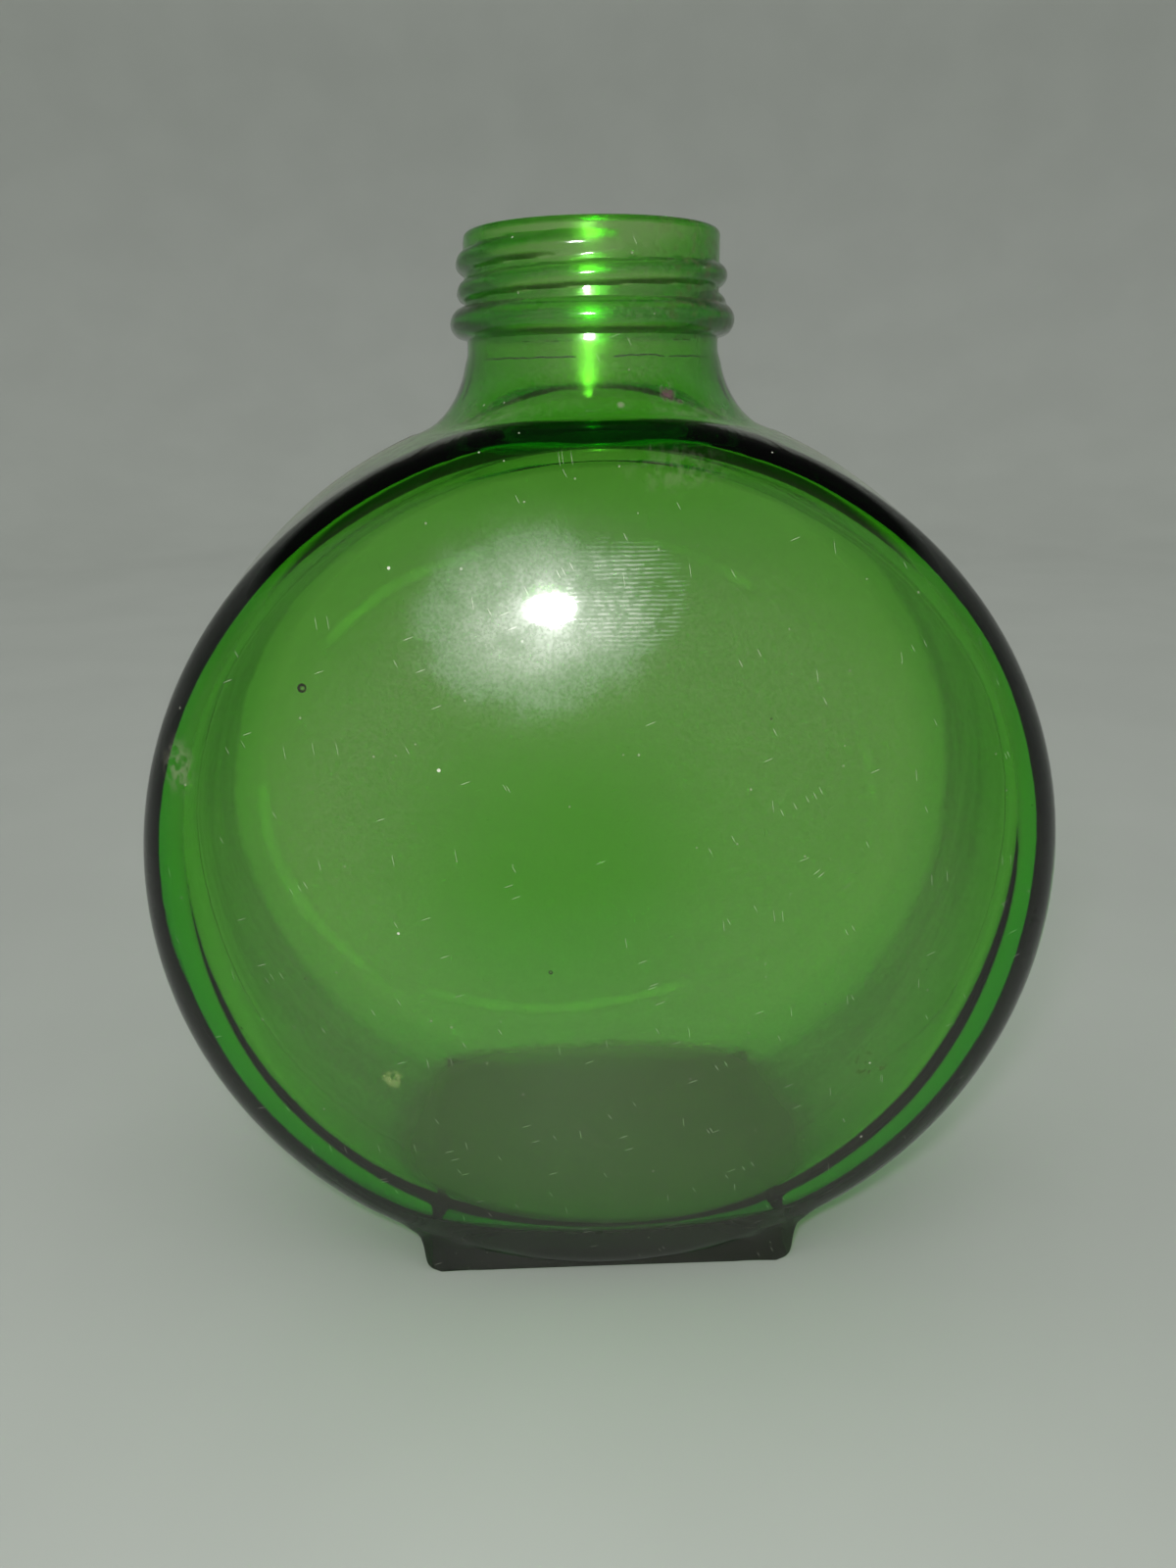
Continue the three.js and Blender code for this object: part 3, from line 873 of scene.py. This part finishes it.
def green_glass():
    made, shader = material("green_glass")
    coord = shader.node("TexCoord", output="Object")
    place = shader.node("VectorMath", {"operation": "SCALE"}, {0: coord, "Scale": 1 / MM})
    spread = shader.node("SeparateXYZ", {}, {0: place})
    x, y, z = spread, spread.beside("Y"), spread.beside("Z")
    facing = shader.node("SeparateXYZ", {}, {0: coord.beside("Normal")})
    facing_out = abs(facing.beside("Y"))
    upward = ramp(facing.beside("Z"), *FACING_UP)
    on_face = ramp(facing_out, *FACING_OUT)
    finish = ramp(z, *FINISH_HEIGHTS)
    inside = shader.node("Attribute", {"attribute_name": "inside"}, output="Fac")
    outside = 1 - inside

    clouds = grain(place, *CLOUDS)
    mottle = grain(place, *MOTTLE)
    fine = grain(place, *FINE)
    sandy = grain(place, *SANDY)
    stretched = shader.node("VectorMath", {"operation": "MULTIPLY"}, {0: place, 1: WASHED_STRETCH})
    washed = grain(stretched, *WASHED)

    # Dust and lint, and painted shade on the band's back half
    settled = upward * ramp(z, *DUST_HEIGHTS) * ramp(abs(y), *DUST_DEPTHS) * (1 - FINISH_SWEPT * finish)
    dust = (finish * ramp(z, *LIP_HEIGHTS) * amount(FINISH_DUST, ramp(sandy, *EVEN))
            + settled * amount(DUST_AMOUNTS, ramp(mottle, *DUST_MOTTLE), ramp(fine, *DUST_GRAIN)))
    lint = crumbs(place, *FINE_LINT) * amount(FINE_LINT_LIES, upward) + crumbs(place, *COARSE_LINT)
    # Painted shade: a dark sheet on the back half of the band, below its top, seen through the faces as shade
    band_shade = (ramp(facing_out, *FACING_ROUND) * ramp(y, *BAND_SHADE_DEPTHS) * ramp(z, *BAND_SHADE_HEIGHTS)
             * amount(BAND_SHADE_AMOUNTS, ramp(fine, *SOFT), ramp(washed, *EVEN)))

    # Faces
    unwiped = patch(place, *OPEN_FACE) * (1 - patch(place, *WIPED))
    film = (on_face * amount(FILM_AMOUNTS, ramp(clouds, *FILM_CLOUDS), unwiped)
            * amount(FILM_GRAIN, ramp(sandy, *SOFT)))
    grip = patch(place, *GRIP)
    held = (grip * grip * amount(GRIP_MOTTLED, ramp(mottle, *GRIP_MOTTLE))
            * amount(GRIP_GRAINED, ramp(sandy, *SOFT)))
    skin_place = {"Vector": place, "Location": FINGER_MIDDLE, "Scale": (1, 0, 1)}
    on_finger = shader.node("Mapping", {}, skin_place)
    skin = shader.node("TexWave", {"wave_type": "RINGS"}, {"Vector": on_finger, **RIDGES})
    finger = (patch(place, *FINGER) * ramp(skin, *RIDGE_LEVELS) * ramp(mottle, *FINGER_MOTTLE)
              * ramp(fine, *FINGER_GRAIN))
    rub = (patch(place, *RUB_LEFT) * ramp(fine, *RUB_LEFT_GRAIN)
           + RUB_TOP_SHARE * patch(place, *RUB_TOP) * ramp(fine, *RUB_TOP_GRAIN))
    scratch = patch(place, *SCRATCHED) * strokes(x, z, *SCRATCHED_WITH)
    for kind in FACE_SCRATCHES:
        scratch = scratch + strokes(x, z, *kind)
    scratch = on_face * scratch

    # Spots and lines of dirt
    yellow = patch(place, *YELLOW) * ramp(fine, *YELLOW_GRAIN)
    red = (patch(place, *RED_LARGE) + patch(place, *RED_SMALL)) * ramp(fine, *RED_GRAIN)
    pale_dot = patch(place, *PALE_DOT) * ramp(sandy, *PALE_DOT_GRAIN)
    bead_dirt = ramp(z, *BEAD_DIRT_HEIGHTS) * ramp(x, *BEAD_DIRT_SIDE) * ramp(fine, *BEAD_DIRT_GRAIN)
    low_dirt = patch(place, *LOW_DIRT) * ramp(fine, *LOW_DIRT_GRAIN)
    dirt = BEAD_DIRT_COVER * bead_dirt + LOW_DIRT_COVER * low_dirt
    wander = z - WANDER * mottle
    at_parting = ramp(abs(wander - PARTING_DIRT_HEIGHT), *PARTING_DIRT_WIDTH) * ramp(mottle, *PARTING_BREAKS)
    at_waist = ramp(abs(wander - WAIST_DIRT_HEIGHT), *WAIST_DIRT_WIDTH) * ramp(fine, *WAIST_BREAKS)
    groove = (at_parting + WAIST_SHARE * at_waist) * ramp(abs(x), *GROOVE_SIDE)

    # Inside
    # Deposit on the inside floor, partly painted shade: dark and thick so that it also stands in for the
    # shade under the base
    residue_and_base_shade = inside * ramp(z, *RESIDUE_AND_BASE_SHADE_HEIGHTS) * amount(RESIDUE_AND_BASE_SHADE_AMOUNTS, ramp(clouds, *EVEN))
    # A painted bright wavy line inside the back, which stands in for the light seen at a ring in the back
    # wall
    off_line = abs(share_of(place, *RING_LIGHT_OVAL) + RING_LIGHT_WAVE * clouds - RING_LIGHT_AT)
    line = (inside * ramp(y, *RING_LIGHT_DEPTHS) * ramp(off_line, *RING_LIGHT_WIDTH)
            * amount(RING_LIGHT_AMOUNTS, ramp(grain(place, *UNEVEN), *RING_LIGHT_BREAKS)))

    on_outside = (dust + band_shade + film + dirt + LINT_COVER * lint + SCRATCH_COVER * scratch
                  + HELD_COVER * held + FINGER_COVER * finger + RUB_COVER * rub + YELLOW_COVER * yellow
                  + RED_COVER * red + PALE_DOT_COVER * pale_dot + GROOVE_COVER * groove)
    cover = outside * on_outside + residue_and_base_shade + RING_LIGHT_COVER * line

    colour = blend(ramp(held + finger, *GREASE_SHOWS), blend(on_face, DUST, FACE_FILM), SKIN_GREASE)
    # Painted shade on the band's back half, where it does not face up
    colour = blend(ramp(band_shade, *BAND_SHADE_SHOWS) * (1 - upward), colour, PAINTED_BAND_SHADE)
    colour = blend(outside * (lint + scratch), colour, PALE_SPECK)
    colour = blend(outside * ramp(dirt, *DIRT_SHOWS), colour, DRIED_DIRT)
    colour = blend(outside * ramp(red, *RED_SHOWS), colour, RED_FLECK)
    colour = blend(outside * ramp(groove, *GROOVE_SHOWS), colour, GROOVE_DIRT)
    colour = blend(outside * ramp(yellow, *YELLOW_SHOWS), colour, YELLOW_SPOT)
    # The inside's deposit colour, partly painted shade under the base
    colour = blend(inside, colour, RESIDUE_AND_BASE_SHADE)
    # Painted light: the bright line inside the back
    colour = blend(line, colour, PAINTED_RING_LIGHT)

    marked = HELD_ROUGHNESS * held + FINGER_ROUGHNESS * finger + RUB_ROUGHNESS * rub
    rough = GLASS_ROUGHNESS + finish * amount(FINISH_ROUGHNESS, inside) + outside * marked
    greasy = outside * ramp(held + finger + film, *GREASY_FROM)
    relief = grain(place, *MOULD_SKIN) + finish * fine
    mould_skin = shader.node("Bump", {}, {"Distance": MOULD_SKIN_DEPTH * MM, "Height": relief})

    glass = shader.node("BsdfPrincipled", {}, {
        "Base Color": (1, 1, 1, 1),
        "Roughness": rough,
        "IOR": GLASS_IOR,
        "Transmission Weight": 1,
        "Normal": mould_skin,
    })
    matter = shader.node("BsdfPrincipled", {}, {
        "Base Color": colour,
        "Roughness": DUSTY_ROUGHNESS - GREASE_GLOSS * greasy,
    })
    covered = shader.node("MixShader", {}, {0: cover, 1: glass, 2: matter})
    see_through = shader.node("BsdfTransparent", {}, {"Color": LAMP_SHADE})
    for_lamps = shader.node("LightPath", output="Is Shadow Ray")
    surface = shader.node("MixShader", {}, {0: for_lamps, 1: covered, 2: see_through})
    tint = shader.node("VolumeAbsorption", {}, {"Color": GLASS_TINT, "Density": TINT_DENSITY})
    shader.node("OutputMaterial", {}, {"Surface": surface, "Volume": tint})
    return made


bottle.data.materials.clear()
bottle.data.materials.append(green_glass())

# Stage: a pale floor that sweeps up into a backdrop all round

FLOOR_RADIUS = 900
SWEEP_RADIUS = 500
SWEEP_STEPS = 12
BACKDROP_HEIGHT = 800
BACKDROP_COLUMNS = 96
AIR_GAP = 0.06
PALE = (0.36, 0.385, 0.35, 1)
PALE_SHADE = 0.96
CLOUDS_PER_METRE = 14
CLOUD_DETAIL = 3
PAPER_ROUGHNESS = 0.45


def make_backdrop():
    profile = [(0, 0, -AIR_GAP), (FLOOR_RADIUS / 2, 0, -AIR_GAP)]
    for k in range(SWEEP_STEPS + 1):
        turn = k * math.pi / 2 / SWEEP_STEPS
        height = SWEEP_RADIUS * (1 - math.cos(turn)) - AIR_GAP
        profile.append((FLOOR_RADIUS + SWEEP_RADIUS * math.sin(turn), 0, height))
    profile.append((FLOOR_RADIUS + SWEEP_RADIUS, 0, BACKDROP_HEIGHT))
    piece = drawn("backdrop", profile)
    spin(BACKDROP_COLUMNS, (0, 0, 0), (0, 0, 1))
    bpy.ops.mesh.normals_make_consistent(inside=True)
    leave()
    bpy.ops.object.shade_smooth()
    made, shader = material("pale_backdrop")
    coord = shader.node("TexCoord", output="Object")
    cloudy = shader.node("TexNoise", {}, {"Vector": coord, "Scale": CLOUDS_PER_METRE, "Detail": CLOUD_DETAIL})
    shaded = tuple(PALE_SHADE * c for c in PALE[:3]) + (1,)
    tone = blend(ramp(cloudy, *SOFT), PALE, shaded)
    paint = shader.node("BsdfPrincipled", {}, {"Base Color": tone, "Roughness": PAPER_ROUGHNESS})
    shader.node("OutputMaterial", {}, {"Surface": paint})
    piece.data.materials.append(made)


make_backdrop()

# Even light from all round. What the glass and the camera see of it is the backdrop's tone, dim overhead.

SKY_LIGHT = 1.14
SKY_LOW = (0.212, 0.23, 0.205, 1)
SKY_HIGH = (0.03, 0.03, 0.03, 1)
SKY_FADE = (0.44, 0.58)

world = bpy.data.worlds.new("studio")
bpy.context.scene.world = world
world.use_nodes = True
world.node_tree.nodes.clear()
sky = Wire(world.node_tree)
ray = sky.node("LightPath", output="Is Camera Ray")
seen = ray.math("MAXIMUM", ray, ray.beside("Is Glossy Ray"))
seen = ray.math("MAXIMUM", seen, ray.beside("Is Transmission Ray"))
height = sky.node("SeparateXYZ", {}, {0: sky.node("TexCoord", output="Generated")}, "Z")
overhead = blend(ramp(height, *SKY_FADE), SKY_LOW, SKY_HIGH)
light = sky.node("Background", {}, {"Color": (1, 1, 1, 1), "Strength": SKY_LIGHT})
ceiling = sky.node("Background", {}, {"Color": overhead, "Strength": 1})
sky.node("OutputWorld", {}, {"Surface": sky.node("MixShader", {}, {0: seen, 1: light, 2: ceiling})})

# A small lamp beside the camera and a little higher

LAMP_PLACE = (-16.5, -170, 143.5)
LAMP_AIM = (0, 0, 70)
LAMP_WIDTH = 21
LAMP_HEIGHT = 12
LAMP_POWER = 0.22

key_data = bpy.data.lights.new("key", "AREA")
key_data.shape = "ELLIPSE"
key_data.size = LAMP_WIDTH * MM
key_data.size_y = LAMP_HEIGHT * MM
key_data.energy = LAMP_POWER
key = bpy.data.objects.new("key", key_data)
key.location = Vector(LAMP_PLACE) * MM
key.rotation_euler = (Vector(LAMP_AIM) * MM - key.location).to_track_quat("-Z", "Y").to_euler()
key.visible_camera = False
bpy.context.scene.collection.objects.link(key)

# Camera, at the place and with the lens that the rim, the neck and the foot give

CAMERA_PLACE = (-6.2, -170.0, 130.05)
CAMERA_YAW = math.radians(1.55)
CAMERA_PITCH = math.radians(18.8)
CAMERA_ROLL = math.radians(-0.87)
CAMERA_NEAR = 5
FRAME_HEIGHT = 36
PIXELS_HIGH = 1600
FOCAL_PIXELS = 1155

camera_data = bpy.data.cameras.new("camera")
camera_data.sensor_fit = "VERTICAL"
camera_data.sensor_height = FRAME_HEIGHT
camera_data.lens = FRAME_HEIGHT * FOCAL_PIXELS / PIXELS_HIGH
camera_data.clip_start = CAMERA_NEAR * MM
camera = bpy.data.objects.new("camera", camera_data)
aim = Matrix.Rotation(-CAMERA_YAW, 4, "Z") @ Matrix.Rotation(math.pi / 2 - CAMERA_PITCH, 4, "X")
aim = aim @ Matrix.Rotation(CAMERA_ROLL, 4, "Z")
camera.matrix_world = Matrix.Translation(Vector(CAMERA_PLACE) * MM) @ aim
bpy.context.scene.collection.objects.link(camera)
bpy.context.scene.camera = camera
bpy.context.scene.view_settings.view_transform = "Standard"
